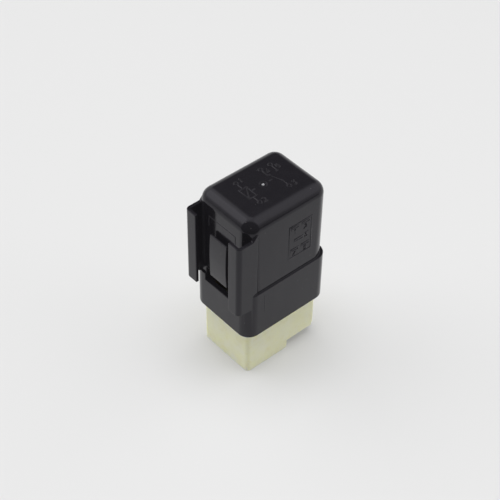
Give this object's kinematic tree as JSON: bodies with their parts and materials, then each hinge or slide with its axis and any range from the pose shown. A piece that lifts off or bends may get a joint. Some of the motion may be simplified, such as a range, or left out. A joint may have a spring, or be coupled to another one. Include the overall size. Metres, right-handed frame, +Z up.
{
  "type": "automotive relay",
  "caption": "Upright changeover relay: black cover with a two-rail bracket slot and latch finger, pale connector shroud with a stepped rim, hinged armature inside.",
  "frame": {"origin": "centre of the connector socket's mouth, on the plane of the low rim that the relay stands on", "axes": "+Z up through the cover, -X towards the bracket slot, Y across the relay"},
  "size_m": [0.0342, 0.024, 0.0602],
  "materials": {
    "cover_plastic": "semi-gloss moulded black",
    "base_nylon": "translucent pale yellow-green nylon",
    "plated_steel": "zinc plated",
    "core_iron": "turned soft iron",
    "bobbin_plastic": "moulded",
    "copper_wire": "enamelled copper",
    "spring_bronze": "rolled",
    "rivet_steel": "plain",
    "contact_silver": "satin silver",
    "spring_steel": "drawn wire",
    "terminal_brass": "tin-plated brass",
    "braid_copper": "bare braided copper",
    "resistor_coat": "dipped lacquer",
    "tinned_wire": "tinned"
  },
  "bodies": {
    "frame": {"cover": "cover_plastic", "connector_base": "base_nylon", "yoke": "plated_steel", "iron_core": "core_iron", "bobbin": "bobbin_plastic", "coil_winding": "copper_wire", "return_spring": "spring_steel", "normally_open_contact": "contact_silver", "normally_closed_contact": "contact_silver", "normally_open_terminal": "terminal_brass", "normally_closed_terminal": "terminal_brass", "common_terminal": "terminal_brass", "coil_terminal_a": "terminal_brass", "coil_terminal_b": "terminal_brass", "coil_tail_a": "copper_wire", "coil_tail_b": "copper_wire", "flexible_braid": "braid_copper", "resistor_body": "resistor_coat", "resistor_leads": "tinned_wire"},
    "armature_set": {"armature": "plated_steel", "contact_blade": "spring_bronze", "blade_rivets": "rivet_steel", "moving_contact": "contact_silver"}
  },
  "joints": [
    {"name": "armature_hinge", "type": "hinge", "parent": "frame", "child": "armature_set", "pos_m": [-0.0104, 0, 0.04835], "axis": [0, 1, 0], "range_deg": [0, 4.5], "stiffness_Nm_per_rad": 0.02, "springref_deg": -5.73, "deforming": ["return_spring", "flexible_braid"]}
  ]
}
